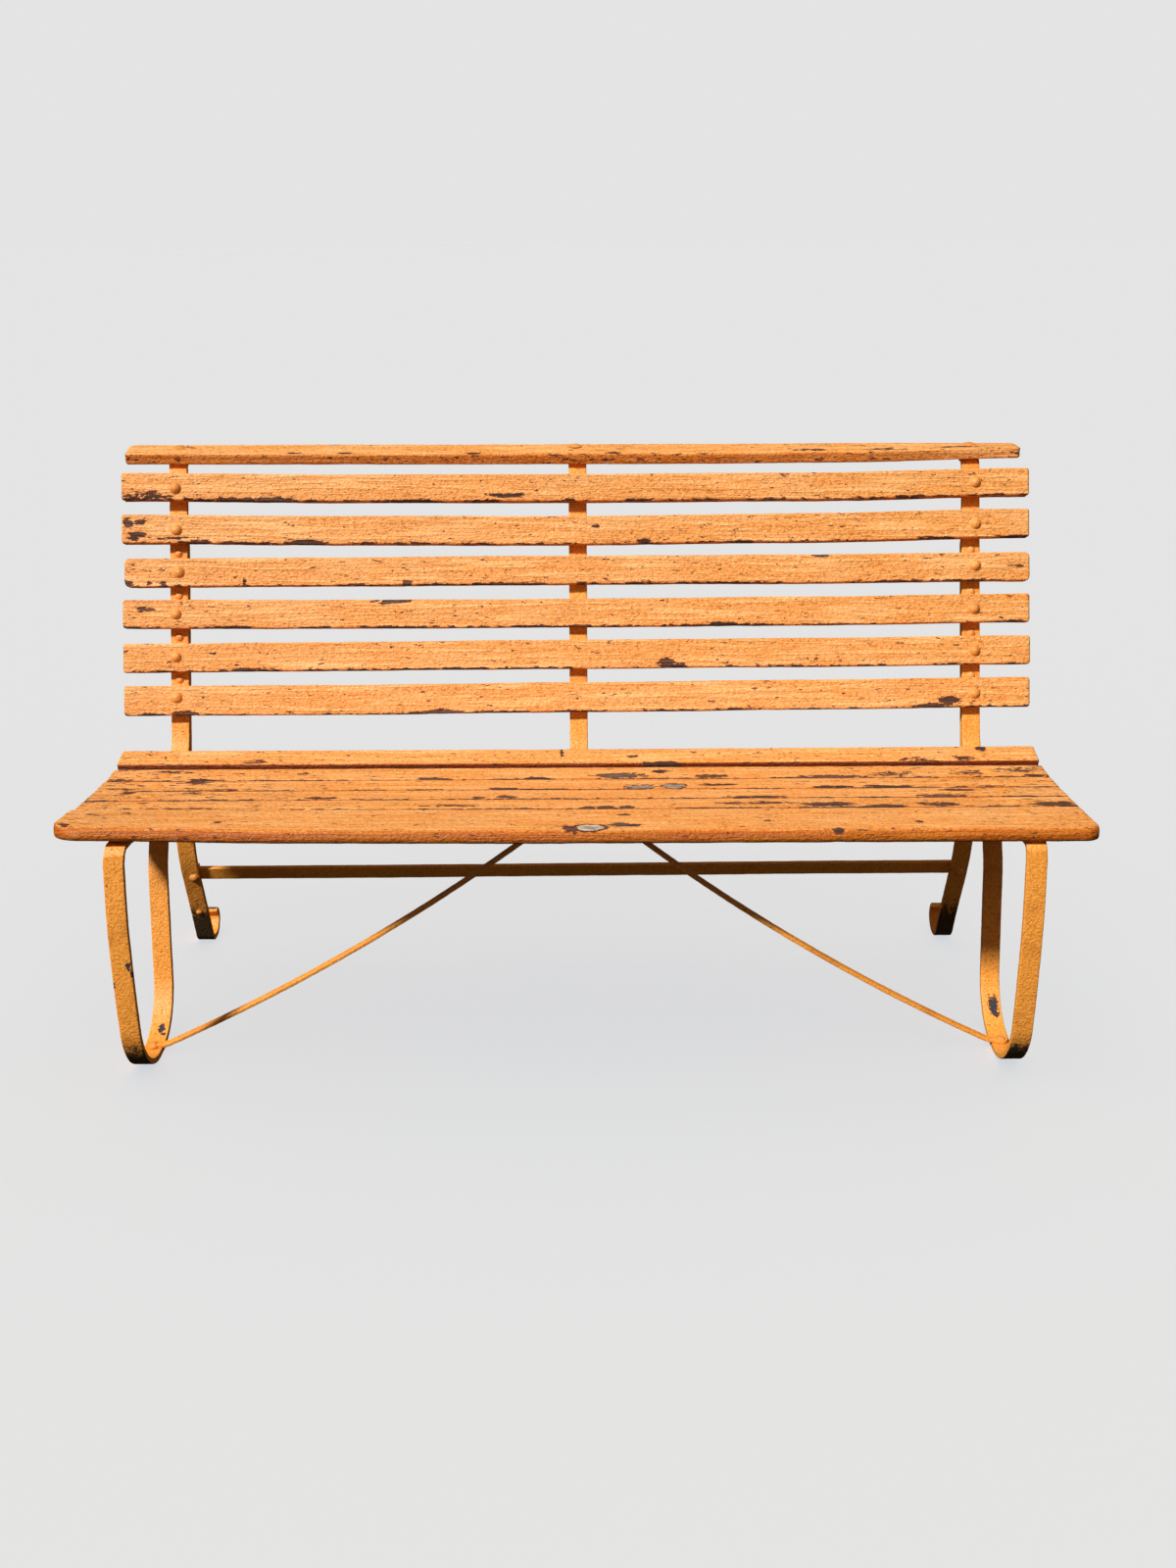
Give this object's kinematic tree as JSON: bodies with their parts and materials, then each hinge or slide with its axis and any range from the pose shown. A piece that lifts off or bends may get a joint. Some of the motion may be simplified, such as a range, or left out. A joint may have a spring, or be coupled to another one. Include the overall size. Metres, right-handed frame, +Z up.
{
  "type": "garden bench",
  "caption": "Slatted garden bench with a reclined back, orange paint over timber slats and bent flat-bar iron frames with looped front legs",
  "frame": {"origin": "on the ground under the middle of the bench's bounding box", "axes": "+X along the bench, to the right of a viewer facing its front; the sitter faces -Y; +Z up"},
  "size_m": [1.62, 0.676, 0.935],
  "materials": {
    "painted_timber": "brush painted, chipped",
    "painted_iron": "brush painted, chipped",
    "painted_fasteners": "painted over"
  },
  "bodies": {
    "root": {"top_rail": "painted_timber", "back_slat_1": "painted_timber", "back_slat_2": "painted_timber", "back_slat_3": "painted_timber", "back_slat_4": "painted_timber", "back_slat_5": "painted_timber", "back_slat_6": "painted_timber", "seat_rear_slat": "painted_timber", "seat_board_1": "painted_timber", "seat_board_2": "painted_timber", "seat_board_3": "painted_timber", "seat_board_4": "painted_timber", "seat_front_board": "painted_timber", "left_side_bar": "painted_iron", "right_side_bar": "painted_iron", "centre_bar": "painted_iron", "left_rear_leg": "painted_iron", "right_rear_leg": "painted_iron", "rear_cross_bar": "painted_iron", "left_stay": "painted_iron", "right_stay": "painted_iron", "left_back_bolts": "painted_fasteners", "right_back_bolts": "painted_fasteners", "left_back_nuts": "painted_fasteners", "right_back_nuts": "painted_fasteners", "centre_back_screws": "painted_fasteners", "rail_bolts": "painted_fasteners", "rail_nuts": "painted_fasteners", "left_seat_bolts": "painted_fasteners", "right_seat_bolts": "painted_fasteners", "left_seat_nuts": "painted_fasteners", "right_seat_nuts": "painted_fasteners", "centre_seat_screws": "painted_fasteners", "left_leg_rivets": "painted_fasteners", "right_leg_rivets": "painted_fasteners", "cross_bar_bolts": "painted_fasteners", "cross_bar_nuts": "painted_fasteners", "stay_foot_rivets": "painted_fasteners", "stay_top_bolt": "painted_fasteners", "stay_top_nut": "painted_fasteners"}
  },
  "joints": []
}
